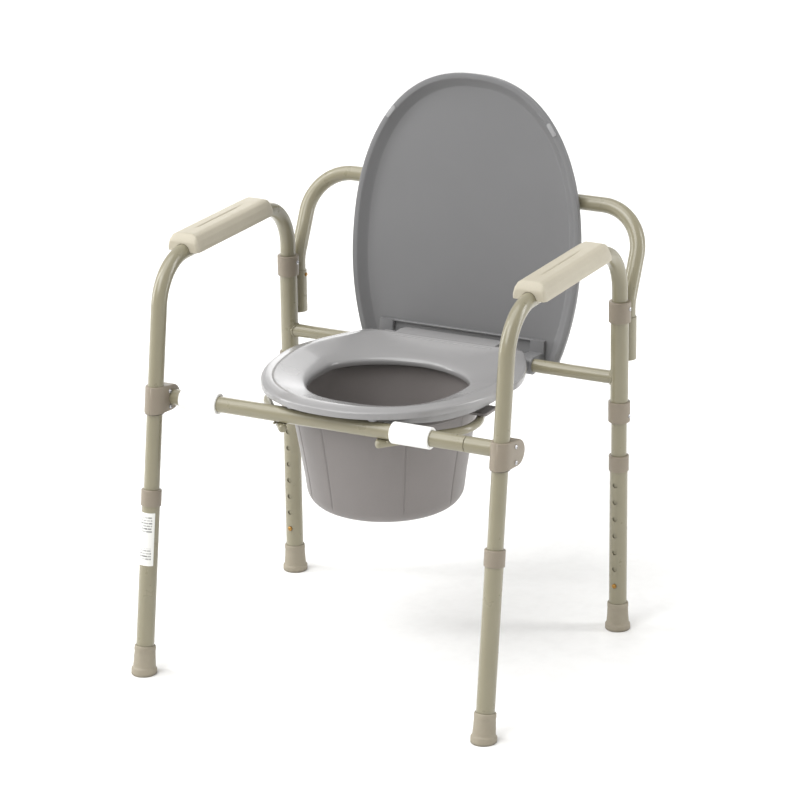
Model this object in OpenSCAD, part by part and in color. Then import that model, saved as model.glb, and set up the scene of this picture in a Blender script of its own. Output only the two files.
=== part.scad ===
// Commode chair: a bent-tube chair frame on four height-adjustable legs, with firm armrests, a
// plug-in back bar, a hinged toilet seat, a hinged lid and a round bucket carried on two rails.
// Millimetres, +Z up, front of the chair towards -Y, origin on the floor under the middle of the
// bounding box. The lid is modelled open, standing against the back bar.

/* [Frame] */
// distance from the middle plane to each side frame
half_w = 264; // [240:1:290]
// outside diameter of the main tube
tube_d = 22.2; // [19:0.1:25]
// wall of every tube
wall = 1.2; // [1:0.1:2]
// outside diameter of the sleeves and leg extensions
outer_d = 25.4; // [23:0.1:29]
// bore of the sleeves and leg extensions
outer_bore = 22.4; // [20:0.1:26]
// height of the arm tube's centre
arm_z = 575; // [540:1:610]
// bend radius of the side frame
bend_r = 70; // [50:1:80]
// front leg's distance in front of the rear leg, on the floor
leg_base = 434.6; // [400:0.1:460]
// front leg's forward lean, degrees
lean = 8.21; // [0:0.01:12]
// height of the inner legs' lower ends
leg_low = 50; // [40:1:60]

/* [Legs] */
// pitch of the height holes
pitch = 25.4; // [20:0.1:30]
// number of height holes
holes = 7; // [4:1:8]
// height of the lowest hole
hole_z = 68.9; // [60:0.1:80]
// height of the rubber tip
tip_h = 41; // [30:1:50]
// radius of the rubber tip's base ring
tip_r = 18; // [15:0.5:22]

/* [Bars] */
// height of the front bar
bar_z = 385; // [360:1:400]
// front bar's distance in front of the rear leg
bar_y = 355; // [330:1:380]
// half length of the front bar's middle piece
bar_half = 201.7; // [180:0.1:220]
// height of the rear crossbar, which is the hinge axis
axis_z = 377.5; // [360:0.5:400]
// outside diameter of the rear crossbar
axis_d = 19; // [16:0.5:22]
// length of a lock sleeve
lock_len = 58; // [40:1:70]
// diameter of the bucket rails
rail_d = 12; // [8:0.5:14]
// height of the bucket rails
rail_z = 367.8; // [350:0.1:375]

/* [Back bar] */
// back bar's distance behind the rear leg
back_y = 28.2; // [26:0.1:35]
// height of the lean bend
kink_z = 480.5; // [470:0.5:500]
// rearward lean of the back bar, degrees
back_lean = 25.9; // [10:0.1:35]
// length of the leaned part
back_len = 132.4; // [100:0.1:200]
// corner radius of the back bar
corner_r = 64.5; // [40:0.5:80]

/* [Seat and lid] */
// half width of the seat
seat_a = 178.1; // [160:0.1:185]
// front of the seat, in front of its widest line
seat_bf = 228.6; // [200:0.1:240]
// half width of the hole
hole_a = 108.6; // [90:0.1:120]
// forward rise of the seat, degrees
tilt = 1.455; // [0:0.005:3]
// half width of the lid
lid_a = 180.6; // [170:0.1:190]
// lid's opening past upright, degrees
lid_back = 7.2; // [0:0.1:12]

/* [Bucket] */
// bucket radius under the rim
bucket_r = 128.5; // [110:0.5:132]
// bucket radius near the floor of the bucket
bucket_low_r = 110.4; // [90:0.1:120]
// height of the bucket's underside
bucket_z = 223; // [180:1:260]

/* [Hidden] */
$fn = 64;
yo = 177.8;              // from the rear leg's plane to the middle of the bounding box
step = 0.15;             // how much thicker a bend is than a straight
lap = 0.8;               // how far a straight runs into a bend
ro = tube_d / 2;
ri = ro - wall;
so = outer_d / 2;
si = outer_bore / 2;
ar = axis_d / 2;
arm_front = leg_base - (arm_z - bend_r) * tan(lean) - bend_r / cos(lean);
arm_rear = bend_r;
beige = [0.69, 0.67, 0.57];
taupe = [0.62, 0.58, 0.52];
cream = [0.80, 0.77, 0.70];
steel = [0.45, 0.45, 0.46];
rubber = [0.55, 0.53, 0.50];
brass = [0.78, 0.64, 0.35];

// ---------------------------------------------------------------- helpers
module base() translate([0, yo, 0]) children();
module annulus(o, i) difference() { circle(r = o); circle(r = i); }
module pipe(h, o, i) linear_extrude(height = h) annulus(o, i);
// bends are a hair thicker than the straights, which run a little way into them
module arc(R, a, o, i) rotate_extrude(angle = a) translate([R, 0]) annulus(o + step, i - step);
module rod(h, r) cylinder(h = h, r = r);
module arod(R, a, r) rotate_extrude(angle = a) translate([R, 0]) circle(r = r + step);
// a frame whose Z runs up a leg from the floor; s is -1 for the left side and 1 for the right
module rear_leg(s) base() translate([s * half_w, 0, 0]) children();
module front_leg(s) base() translate([s * half_w, -leg_base, 0]) rotate([-lean, 0, 0]) children();
// the hinge frame: origin on the crossbar's axis, -Y towards the front edge of a closed panel
module hinge(a) base() translate([0, 0, axis_z]) rotate([-a, 0, 0]) children();

// ---------------------------------------------------------------- side frames
module arm_frame(s) color(beige) difference() {
  union() {
    rear_leg(s) translate([0, 0, leg_low]) pipe(arm_z - bend_r - leg_low + lap, ro, ri);
    rear_leg(s) translate([0, -bend_r, arm_z - bend_r]) rotate([90, 0, 90]) arc(bend_r, 90, ro, ri);
    rear_leg(s) translate([0, -arm_front - lap, arm_z]) rotate([-90, 0, 0])
      pipe(arm_front - arm_rear + 2 * lap, ro, ri);
    rear_leg(s) translate([0, -arm_front, arm_z - bend_r]) rotate([90, 0, 90]) rotate([0, 0, 90])
      arc(bend_r, 90 - lean, ro, ri);
    front_leg(s) translate([0, 0, leg_low])
      pipe((arm_z - bend_r) / cos(lean) + bend_r * tan(lean) - leg_low + lap, ro, ri);
  }
  // button holes
  rear_leg(s) translate([0, 0, hole_z]) rotate([90, 0, 0]) rod(15, 3.4);
  front_leg(s) translate([0, 0, hole_z]) rotate([-90, 0, 0]) rod(15, 3.4);
  // armrest screw holes
  for (y = [240, 125]) rear_leg(s) translate([0, -y, arm_z - 15]) rod(30, 2.3);
  // collar screw holes
  for (z = [324, 481]) rear_leg(s) translate([0, 0, z]) rotate([0, 90, 0]) rod(15, 1.6);
}
module left_arm_frame() arm_frame(-1);
module right_arm_frame() arm_frame(1);

module armrest(s) color(cream) rear_leg(s) difference() {
  intersection() {
    translate([0, -72, 0]) rotate([90, 0, 0]) linear_extrude(height = 222)
      polygon([[-25, arm_z], [-25, arm_z + 7], [-23.4, arm_z + 15], [-21.6, arm_z + 20.5],
        [-18.6, arm_z + 23.6], [-15, arm_z + 24.5], [-1.4, arm_z + 24.5], [0, arm_z + 23.7],
        [1.4, arm_z + 24.5], [15, arm_z + 24.5], [18.6, arm_z + 23.6], [21.6, arm_z + 20.5],
        [23.4, arm_z + 15], [25, arm_z + 7], [25, arm_z]]);
    translate([-30, 0, 0]) rotate([90, 0, 90]) linear_extrude(height = 60)
      polygon([[-294, arm_z - 1], [-294, arm_z + 14], [-291, arm_z + 19], [-284, arm_z + 25],
        [-96, arm_z + 25], [-88, arm_z + 22], [-75, arm_z + 8], [-72, arm_z - 1]]);
  }
  translate([0, -300, arm_z]) rotate([-90, 0, 0]) rod(240, ro + step + 0.05);
  for (y = [240, 125]) translate([0, -y, arm_z]) rod(16, 2.2);
}
module left_armrest() armrest(-1);
module right_armrest() armrest(1);
module armrest_screws() color(steel) for (s = [-1, 1], y = [240, 125]) rear_leg(s)
  translate([0, -y, 0]) {
    translate([0, 0, arm_z - ro]) rod(ro + 16, 2.2);
    translate([0, 0, arm_z - ro - 2.2]) rod(2.2, 4.2);
  }

// ---------------------------------------------------------------- front bar
screw_y = 9.2;           // clamp screws in front of the bar, between it and the leg
screw_z = 11;            // and above and below its axis
module front_clamp(s) color(taupe) difference() {
  union() {
    front_leg(s) translate([0, 0, 370.5]) { rod(36, 14.5); translate([0, 0, 36]) cylinder(h = 2, r1 = 14.5, r2 = 13); }
    base() translate([s * half_w - 15, -bar_y, bar_z]) rotate([0, 90, 0]) rod(30, 18);
    base() translate([s * half_w - 15, -bar_y - 20, bar_z - 18]) cube([30, 20, 36]);
  }
  front_leg(s) translate([0, 0, 340]) rod(100, ro);
  base() translate([s * (half_w - 3.5), -bar_y, bar_z]) rotate([0, s * 90, 0])
    translate([0, 0, -23]) rod(34.5, ro);
  for (z = [-screw_z, screw_z]) base() translate([s * half_w - 20, -bar_y - screw_y, bar_z + z])
    rotate([0, 90, 0]) rod(40, 1.8);
}
module left_front_clamp() front_clamp(-1);
module right_front_clamp() front_clamp(1);
module clamp_screws() color(steel) for (s = [-1, 1], z = [-screw_z, screw_z])
  base() translate([s * half_w - 15, -bar_y - screw_y, bar_z + z]) rotate([0, 90, 0]) {
    rod(30, 1.8);
    translate([0, 0, 30]) rod(2, 3.1);
  }
module bar_stub(s) color(beige) base() translate([s * (bar_half + 0.5), -bar_y, bar_z])
  rotate([0, s * 90, 0]) pipe(half_w + 8 - bar_half - 0.5, ro, ri);
module left_bar_stub() bar_stub(-1);
module right_bar_stub() bar_stub(1);
module front_bar() color(beige) base() translate([-bar_half, -bar_y, bar_z])
  rotate([0, 90, 0]) pipe(2 * bar_half, ro, ri);
module lock_sleeve(x) color([0.9, 0.9, 0.88]) base() translate([x - lock_len / 2, -bar_y, bar_z])
  rotate([0, 90, 0]) difference() {
    union() {
      translate([0, 0, 1]) rod(lock_len - 2, 15);
      cylinder(h = 1, r1 = 14, r2 = 15);
      translate([0, 0, lock_len - 1]) cylinder(h = 1, r1 = 15, r2 = 14);
    }
    translate([0, 0, -1]) rod(lock_len + 2, ro + 0.1);
  }
module left_lock_sleeve() lock_sleeve(-205);
module right_lock_sleeve() lock_sleeve(121.5);

// ---------------------------------------------------------------- bucket rails
// corners of the right rail in plan, counted from the rear leg's plane
ra = [71, -365]; rb = [156, -262]; rc = [156, -225]; rd = [75, -1];
rail_r = 60;
function ang(p, q) = atan2(q[1] - p[1], q[0] - p[0]);
function dist(p, q) = norm(q - p);
module rail_body() difference() {
  r = rail_d / 2;
  a1 = ang(ra, rb); a2 = ang(rb, rc); a3 = ang(rc, rd);
  t1 = rail_r * tan((a2 - a1) / 2);
  t2 = rail_r * tan((a3 - a2) / 2);
  union() {
    translate([ra[0], ra[1], 0]) rotate([0, 0, a1]) rotate([0, 90, 0]) rotate_extrude()
      polygon([[0, -5], [3, -4.6], [4.8, -3.2], [r, -0.5], [r, dist(ra, rb) - t1 + lap],
        [0, dist(ra, rb) - t1 + lap]]);
    translate([rb[0] - rail_r, rb[1] + t1, 0]) rotate([0, 0, a1 - a2])
      arod(rail_r, a2 - a1, r);
    translate([rb[0], rb[1] + t1 - lap, 0]) rotate([-90, 0, 0])
      rod(dist(rb, rc) - t1 - t2 + 2 * lap, r);
    translate([rc[0] - rail_r, rc[1] - t2, 0]) arod(rail_r, a3 - a2, r);
    translate([rd[0], rd[1], 0]) rotate([0, 0, a3 + 180]) rotate([0, 90, 0])
      rod(dist(rc, rd) - t2 + lap, r);
  }
  translate([-200, 0, axis_z - rail_z]) rotate([0, 90, 0]) rod(400, ar);
}
module left_bucket_rail() color(beige) base() translate([0, 0, rail_z]) mirror([1, 0, 0]) rail_body();
module right_bucket_rail() color(beige) base() translate([0, 0, rail_z]) rail_body();

// ---------------------------------------------------------------- rear frame
module rear_crossbar() color(beige) difference() {
  base() translate([-half_w + 6, 0, axis_z]) rotate([0, 90, 0]) pipe(2 * half_w - 12, ar, ar - wall);
  for (s = [-1, 1]) rear_leg(s) translate([0, 0, 340]) rod(80, so);
}
module pivot_sleeve(s) color(beige) rear_leg(s) translate([0, 0, 334]) pipe(137, so, si);
module left_pivot_sleeve() pivot_sleeve(-1);
module right_pivot_sleeve() pivot_sleeve(1);
module upper_collar(s) color(taupe) rear_leg(s) difference() {
  translate([0, 0, 461]) { rod(29, 15.5); translate([0, 0, 29]) cylinder(h = 1, r1 = 15.5, r2 = 14.5); }
  translate([0, 0, 460]) rod(11, so);
  translate([0, 0, 460]) rod(40, ro);
  translate([0, 0, 481]) rotate([0, 90, 0]) rod(20, 1.6);
}
module left_upper_collar() upper_collar(-1);
module right_upper_collar() upper_collar(1);
module lower_collar(s) color(taupe) rear_leg(s) difference() {
  translate([0, 0, 314]) { translate([0, 0, 1]) rod(29, 15.5); cylinder(h = 1, r1 = 14.5, r2 = 15.5); }
  translate([0, 0, 334]) rod(11, so);
  translate([0, 0, 310]) rod(40, ro);
  translate([0, 0, 324]) rotate([0, 90, 0]) rod(20, 1.6);
}
module left_lower_collar() lower_collar(-1);
module right_lower_collar() lower_collar(1);
module collar_screws() color(steel) for (s = [-1, 1], z = [324, 481]) rear_leg(s)
  translate([0, 0, z]) rotate([0, 90, 0]) {
    translate([0, 0, 8.8]) rod(7, 1.6);
    translate([0, 0, 15.5]) rod(1.6, 3);
  }
back_x = half_w - 0.5;
sock_lo = 398.5; sock_hi = 461; bar_lo = 406; back_btn = 455;
module back_socket(s) color(beige) difference() {
  union() {
    base() translate([s * back_x, back_y, sock_lo]) rod(sock_hi - sock_lo, so);
    base() translate([s * back_x - 5, 8, 408]) cube([10, 12, 44]);
  }
  base() translate([s * back_x, back_y, sock_lo - 1]) rod(80, si);
  rear_leg(s) translate([0, 0, 380]) rod(100, so);
  base() translate([s * back_x, back_y, back_btn]) rotate([0, -s * 90, 0]) rod(20, 3.2);
}
module left_back_socket() back_socket(-1);
module right_back_socket() back_socket(1);

// ---------------------------------------------------------------- back bar
kink_r = 40;
kt = kink_r * tan(back_lean / 2);
module leaned() base() translate([0, back_y, kink_z]) rotate([-back_lean, 0, 0]) children();
module back_bar() color(beige) difference() {
  union() {
    for (s = [-1, 1]) {
      base() translate([s * back_x, back_y, bar_lo]) pipe(kink_z - kt - bar_lo + lap, ro, ri);
      base() translate([s * back_x, back_y + kink_r, kink_z - kt]) rotate([90, 0, 90])
        rotate([0, 0, 180 - back_lean]) arc(kink_r, back_lean, ro, ri);
      leaned() translate([s * back_x, 0, kt - lap])
        pipe(back_len - corner_r - kt + 2 * lap, ro, ri);
      leaned() translate([s * (back_x - corner_r), 0, back_len - corner_r])
        rotate([90, 0, s < 0 ? 180 : 0]) arc(corner_r, 90, ro, ri);
    }
    leaned() translate([-(back_x - corner_r) - lap, 0, back_len]) rotate([0, 90, 0])
      pipe(2 * (back_x - corner_r + lap), ro, ri);
  }
  for (s = [-1, 1]) base() translate([s * back_x, back_y, back_btn]) rotate([0, -s * 90, 0])
    rod(20, 3);
}
// push button with its folded leaf, facing -Y, leaf running down from it
module button(r, tip, leaf) {
  rotate([90, 0, 0]) {
    translate([0, 0, 8]) rod(tip - 8.8, r);
    translate([0, 0, tip - 0.8]) cylinder(h = 0.8, r1 = r, r2 = r - 0.9);
    translate([0, 0, 7.1]) rod(1.2, r + 1);
  }
  rotate([90, 0, 90]) translate([0, 0, -3]) linear_extrude(height = 6)
    polygon([[-7.3, 4], [-6.3, 4], [-0.8, 4 - leaf], [3.2, -4], [4.2, -4], [-0.4, -leaf], [-1.6, -leaf]]);
}
module back_button(s) color(brass) base() translate([s * back_x, back_y, back_btn])
  rotate([0, 0, -s * 90]) button(2.9, 14.5, 30);
module left_back_button() back_button(-1);
module right_back_button() back_button(1);

// ---------------------------------------------------------------- leg extensions
module extension() color(beige) difference() {
  translate([0, 0, 6]) pipe(252, so, si);
  for (k = [0 : holes - 1]) translate([0, 0, hole_z + k * pitch]) rotate([90, 0, 0]) rod(20, 3.5);
}
module leg_collar() color(taupe) difference() {
  translate([0, 0, 241]) { rod(22, 14.3); translate([0, 0, 22]) cylinder(h = 1, r1 = 14.3, r2 = 13.3); }
  translate([0, 0, 240]) rod(18, so);
  translate([0, 0, 240]) rod(30, si);
}
module tip(low) color(rubber) difference() {
  union() {
    translate([0, 0, low]) rod(8 - low, tip_r);
    translate([0, 0, 8]) cylinder(h = 2, r1 = tip_r, r2 = 16);
    translate([0, 0, 10]) cylinder(h = tip_h - 10, r1 = 16, r2 = 14.5);
  }
  translate([0, 0, 6]) rod(60, so);
}
module flat_tip(s) color(rubber) difference() {
  front_leg(s) tip(-4);
  base() translate([s * half_w - 40, -leg_base - 40, -20]) cube([80, 80, 20]);
}
module front_left_extension() front_leg(-1) rotate([0, 0, 180]) extension();
module front_right_extension() front_leg(1) rotate([0, 0, 180]) extension();
module rear_left_extension() rear_leg(-1) extension();
module rear_right_extension() rear_leg(1) extension();
module front_left_collar() front_leg(-1) leg_collar();
module front_right_collar() front_leg(1) leg_collar();
module rear_left_collar() rear_leg(-1) leg_collar();
module rear_right_collar() rear_leg(1) leg_collar();
module front_left_tip() flat_tip(-1);
module front_right_tip() flat_tip(1);
module rear_left_tip() rear_leg(-1) tip(0);
module rear_right_tip() rear_leg(1) tip(0);
module leg_button() color(brass) translate([0, 0, hole_z]) mirror([0, 0, 1]) button(3.3, 15.2, 30);
module front_left_button() front_leg(-1) rotate([0, 0, 180]) leg_button();
module front_right_button() front_leg(1) rotate([0, 0, 180]) leg_button();
module rear_left_button() rear_leg(-1) leg_button();
module rear_right_button() rear_leg(1) leg_button();
module size_label() color([0.92, 0.92, 0.9]) front_leg(-1) translate([0, 0, 157])
  rotate([0, 0, -150]) rotate_extrude(angle = 120) translate([so, 0]) square([0.25, 75]);

// ---------------------------------------------------------------- seat and lid
// a plan outline: [half width, widest y, front length, rear length, front power, rear power]
// and the line at the rear that it is cut off at
outer_o = [seat_a, -152, seat_bf, 239.4, 2.17, 1.5, -16];
hole_o = [hole_a, -169, 135, 80.4, 2.61, 1.82, -60];
skirt_o = [160, -152, 189, 128, 3, 2.4, 0];
lid_o = [lid_a, -141.4, 258.5, 286, 2.27, 1.95, 30];
function mix(p, q, t) = [for (i = [0 : 6]) p[i] * (1 - t) + q[i] * t];
function inset(p, m) = [p[0] - m, p[1], p[2] - m, p[3] - m, p[4], p[5], p[6] - m];
function spow(v, n) = sign(v) * pow(abs(v), n);
function pt(o, t) = let (c = cos(t), s = sin(t), n = s < 0 ? o[4] : o[5], b = s < 0 ? o[2] : o[3])
  [o[0] * spow(c, 2 / n), min(o[6], o[1] + b * spow(s, 2 / n))];
N = 96;
function ring(o, z) = [for (i = [0 : N - 1]) let (p = pt(o, i * 360 / N + 1.875)) [p[0], p[1], z]];
function strip(a, b) = [for (i = [0 : N - 1]) let (j = (i + 1) % N) each
  [[a * N + i, a * N + j, b * N + j], [a * N + i, b * N + j, b * N + i]]];
// closed ring of outlines, listed from the outer lower edge over the top and back underneath
module torus_loft(rs) {
  m = len(rs);
  polyhedron(points = [for (r = rs) each r],
    faces = [for (k = [0 : m - 1]) each [for (f = strip(k, (k + 1) % m)) [f[2], f[1], f[0]]]]);
}
// solid between two capped outlines
module disc_loft(rs) {
  m = len(rs);
  polyhedron(points = [for (r = rs) each r],
    faces = concat([[for (i = [0 : N - 1]) i]], [for (k = [0 : m - 2]) each
      [for (f = strip(k, k + 1)) [f[2], f[1], f[0]]]], [[for (i = [N - 1 : -1 : 0]) (m - 1) * N + i]]));
}
module seat() color([0.75, 0.75, 0.74]) hinge(tilt) difference() {
  union() {
    torus_loft([
      ring(outer_o, 15.4), ring(outer_o, 22), ring(inset(outer_o, 1), 24),
      ring(inset(outer_o, 3.4), 25.4), ring(mix(outer_o, hole_o, 0.14), 27.3),
      ring(mix(outer_o, hole_o, 0.3), 28.2), ring(mix(outer_o, hole_o, 0.45), 27.2),
      ring(mix(outer_o, hole_o, 0.7), 21.5), ring(mix(outer_o, hole_o, 0.9), 14),
      ring(hole_o, 9), ring(hole_o, 2.5),
      ring(inset(hole_o, -3), 2.5), ring(inset(hole_o, -3), 8.5),
      ring(mix(outer_o, hole_o, 0.62), 20),
      ring(inset(skirt_o, 3), 22), ring(inset(skirt_o, 3), 2.5),
      ring(skirt_o, 2.5), ring(skirt_o, 21), ring(inset(outer_o, 3), 20),
      ring(inset(outer_o, 3), 15.4)]);
    translate([-80, -24, 19.5]) cube([160, 32, 7.4]);
    for (s = [-1, 1]) {
      translate([s * 97.5 - 9.5, -62, 16]) cube([19, 62, 7.5]);
      translate([s * 97.5 - 9.5, 0, 0]) rotate([0, 90, 0]) rod(19, 14.2);
      translate([s * 97.5 - 9.5, -14.2, 0]) cube([19, 28.4 - 10, 18]);
    }
  }
  translate([-200, 0, 0]) rotate([0, 90, 0]) rod(400, ar + 0.1);
}
module seat_bumpers() color(rubber) hinge(tilt) for (s = [-1, 1])
  translate([s * 62, -bar_y, 0]) { translate([0, 0, 10.2]) rod(5.2, 7); }

lid_angle = 90 + lid_back;
// two oblong rests set into the lid's rim and turned to follow its edge
module lid_rests() for (s = [-1, 1]) translate([s * 127, -332.6, 25.2]) rotate([0, 0, -s * 35.7]) {
  translate([-3.2, -7.3, 0]) cube([6.4, 14.6, 5.8]);
  for (y = [-7.3, 7.3]) translate([0, y, 0]) rod(5.8, 3.2);
}
module lid() color([0.51, 0.51, 0.52]) hinge(lid_angle) {
  difference() {
    union() {
      difference() {
        disc_loft([ring(inset(lid_o, 21), 36.6), ring(inset(lid_o, 18.5), 35.4),
          ring(inset(lid_o, 8), 27), ring(inset(lid_o, 7), 26.3), ring(lid_o, 26.3),
          ring(lid_o, 33), ring(inset(lid_o, 1.6), 36.6), ring(inset(lid_o, 5), 38.8)]);
        translate([-250, 4, 0]) cube([500, 60, 60]);
      }
      translate([-122, -30, 31]) cube([244, 2.5, 6]);
      for (s = [-1, 1]) translate([s * 121 - 11, 0, 0]) {
        rotate([0, 90, 0]) rod(22, 13.6);
        translate([0, -13.6, 0]) cube([22, 17.6, 30]);
        translate([0, -30, 29.6]) cube([22, 34, 7.4]);
      }
    }
    translate([-200, 0, 0]) rotate([0, 90, 0]) rod(400, ar + 0.1);
    lid_rests();
  }
}
module lid_bumpers() color(rubber) hinge(lid_angle) lid_rests();

// ---------------------------------------------------------------- bucket
bucket_y = 204;
module bucket() color([0.56, 0.54, 0.50]) base() translate([0, -bucket_y, 0]) {
  t = 2.6; f = 26; b = bucket_low_r;
  rotate_extrude() polygon(concat(
    [[0, bucket_z]], [for (k = [0 : 6]) let (a = -90 + k * 13.5) [b - f + f * cos(a), bucket_z + f + f * sin(a)]],
    [[bucket_r, 360], [bucket_r + 1.6, 373.8], [137, 374], [138, 375], [138, 379], [137, 380], [bucket_r - 1, 380],
      [bucket_r - t, 360]],
    [for (k = [6 : -1 : 0]) let (a = -90 + k * 13.5)
      [b - f + (f - t) * cos(a), bucket_z + f + (f - t) * sin(a)]], [[0, bucket_z + t]]));
  for (s = [-1, 1]) difference() {
    translate([s * 148 - 17, -18, 375]) cube([34, 36, 5]);
    rod(500, 137.5);
  }
}

left_arm_frame();
right_arm_frame();
left_armrest();
right_armrest();
left_front_clamp();
right_front_clamp();
left_bar_stub();
right_bar_stub();
left_lock_sleeve();
right_lock_sleeve();
left_bucket_rail();
right_bucket_rail();
left_pivot_sleeve();
right_pivot_sleeve();
left_back_socket();
right_back_socket();
left_upper_collar();
right_upper_collar();
left_lower_collar();
right_lower_collar();
armrest_screws();
clamp_screws();
collar_screws();
rear_crossbar();
front_bar();
back_bar();
left_back_button();
right_back_button();
seat();
seat_bumpers();
lid();
lid_bumpers();
bucket();
front_left_extension();
front_right_extension();
rear_left_extension();
rear_right_extension();
front_left_collar();
front_right_collar();
rear_left_collar();
rear_right_collar();
front_left_tip();
front_right_tip();
rear_left_tip();
rear_right_tip();
front_left_button();
front_right_button();
rear_left_button();
rear_right_button();
size_label();
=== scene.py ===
"""Looks of the commode chair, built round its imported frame. Shapes are in millimetres in the frame
that each helper matrix names, and land in the row frame in metres."""

import math

import bmesh
import bpy
from mathutils import Matrix, Vector


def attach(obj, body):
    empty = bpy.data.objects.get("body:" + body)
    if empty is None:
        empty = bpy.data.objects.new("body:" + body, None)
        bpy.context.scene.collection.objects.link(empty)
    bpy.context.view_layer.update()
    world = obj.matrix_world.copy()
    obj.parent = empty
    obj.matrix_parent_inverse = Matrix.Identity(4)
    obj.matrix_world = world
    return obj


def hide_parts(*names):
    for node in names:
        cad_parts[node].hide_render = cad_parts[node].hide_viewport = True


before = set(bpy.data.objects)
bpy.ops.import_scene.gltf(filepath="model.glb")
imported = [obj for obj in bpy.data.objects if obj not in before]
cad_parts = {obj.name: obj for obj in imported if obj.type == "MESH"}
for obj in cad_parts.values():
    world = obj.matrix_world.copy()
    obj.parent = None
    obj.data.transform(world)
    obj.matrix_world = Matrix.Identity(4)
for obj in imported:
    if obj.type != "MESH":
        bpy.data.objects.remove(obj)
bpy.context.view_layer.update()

# ------------------------------------------------------------------ sizes, mm and degrees
# side frames: half their spacing, rear legs behind the origin, front feet ahead of them, lean
HALF_W, REAR_Y, LEG_BASE, LEAN = 264.0, 177.8, 434.6, 8.21
# radii out and in of the main tube and of the stock round it; the crossbar's radius and wall
RO, RI, SO, SI, AR, WALL = 11.1, 9.9, 12.7, 11.2, 9.5, 1.2
ARM_Z, BEND_R, LEG_LOW = 575.0, 70.0, 50.0
BAR_Y, BAR_Z, BAR_HALF, BUTT_GAP, STUB_PAST = -355.0, 385.0, 201.7, 0.5, 8
AXIS_Z, RAIL_Z, RAIL_R = 377.5, 367.8, 6
BACK_X, BACK_Y, BACK_LOW, KINK_Z, BACK_LEAN, BACK_LEN = 263.5, 28.2, 406, 480.5, 25.9, 132.4
KINK_R, TOP_R = 40, 64.5
PIVOT_LOW, PIVOT_HIGH, SOCKET_LOW, SOCKET_HIGH = 334, 471, 398.5, 461
COLLAR_R, SLACK = 15.5, 0.05
SLEEVE_R, SLEEVE_BORE, SLEEVE_HALF, PARKED_X, LOCKED_X = 15, 11.25, 29, -205.0, 121.5
HOLE_Z, PITCH, HOLES, HOLE_R = 68.9, 25.4, 7, 3.5
SEAT_TILT, LID_ANGLE = 1.455, 97.2
BUCKET_Y = -204.0
LEGS = [("front", "left", -1), ("front", "right", 1), ("rear", "left", -1), ("rear", "right", 1)]


def rot(axis, degrees):
    return Matrix.Rotation(math.radians(degrees), 4, axis)


def shift(x, y, z):
    return Matrix.Translation((x, y, z))


BASE = Matrix.Scale(0.001, 4) @ shift(0, REAR_Y, 0)
TO_X = rot("Y", 90)  # turns a lathe's axis from Z to X


def rear_leg(s):
    return BASE @ shift(s * HALF_W, 0, 0)


def front_leg(s):
    return BASE @ shift(s * HALF_W, -LEG_BASE, 0) @ rot("X", -LEAN)


def leg(end, s):
    """A leg's frame with the height holes towards its -Y."""
    return front_leg(s) @ rot("Z", 180) if end == "front" else rear_leg(s)


def hinge(degrees):
    return BASE @ shift(0, 0, AXIS_Z) @ rot("X", -degrees)


# ------------------------------------------------------------------ materials
# the band in which most of a noise's values lie
NOISE_LOW, NOISE_MID, NOISE_HIGH = 0.3, 0.5, 0.7


def linear(rgb):
    """sRGB 0 to 255 as the linear colour that the shader wants."""
    out = []
    for c in rgb:
        c = c / 255
        out.append(c / 12.92 if c <= 0.04045 else ((c + 0.055) / 1.055) ** 2.4)
    return (*out, 1.0)


class Nodes:
    """A material's node tree, with short calls to add and join nodes."""

    def __init__(self, name):
        self.mat = bpy.data.materials.new(name)
        self.mat.use_nodes = True
        self.tree = self.mat.node_tree
        self.shader = self.tree.nodes["Principled BSDF"]
        self.where = self.add("ShaderNodeTexCoord").outputs["Object"]

    def add(self, kind, **values):
        node = self.tree.nodes.new(kind)
        for key, value in values.items():
            setattr(node, key, value)
        return node

    def link(self, a, b):
        self.tree.links.new(a, b)

    def noise(self, scale, detail, roughness):
        node = self.add("ShaderNodeTexNoise")
        node.inputs["Scale"].default_value = scale
        node.inputs["Detail"].default_value = detail
        node.inputs["Roughness"].default_value = roughness
        self.link(self.where, node.inputs["Vector"])
        return node.outputs["Fac"]

    def ramp(self, source, stops):
        node = self.add("ShaderNodeValToRGB")
        points = node.color_ramp.elements
        while len(points) < len(stops):
            points.new(0.5)
        for point, (at, colour) in zip(points, stops):
            point.position, point.color = at, colour
        self.link(source, node.inputs["Fac"])
        return node.outputs["Color"]

    def drift(self, noise, rgb, spread):
        """A colour that wanders with the noise between its darker and its lighter tone."""
        stops = zip((NOISE_LOW, NOISE_MID, NOISE_HIGH), tones(rgb, spread))
        return self.ramp(noise, list(stops))

    def span(self, source, low, high, source_low=NOISE_LOW, source_high=NOISE_HIGH):
        """The source's own range turned into the range low to high."""
        node = self.add("ShaderNodeMapRange")
        for key, value in (("From Min", source_low), ("From Max", source_high),
                           ("To Min", low), ("To Max", high)):
            node.inputs[key].default_value = value
        self.link(source, node.inputs["Value"])
        return node.outputs["Result"]

    def mix(self, factor, a, b, blend="MIX"):
        node = self.add("ShaderNodeMix", data_type="RGBA", blend_type=blend)
        for socket, value in ((node.inputs[0], factor), (node.inputs[6], a), (node.inputs[7], b)):
            if isinstance(value, bpy.types.NodeSocket):
                self.link(value, socket)
            else:
                socket.default_value = value
        return node.outputs[2]

    def bump(self, height, strength, distance, under=None):
        node = self.add("ShaderNodeBump")
        node.inputs["Strength"].default_value = strength
        node.inputs["Distance"].default_value = distance
        self.link(height, node.inputs["Height"])
        if under:
            self.link(under, node.inputs["Normal"])
        return node.outputs["Normal"]

    def finish(self, **sockets):
        for key, value in sockets.items():
            socket = self.shader.inputs[key.replace("_", " ")]
            if isinstance(value, bpy.types.NodeSocket):
                self.link(value, socket)
            else:
                socket.default_value = value
        return self.mat


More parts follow.
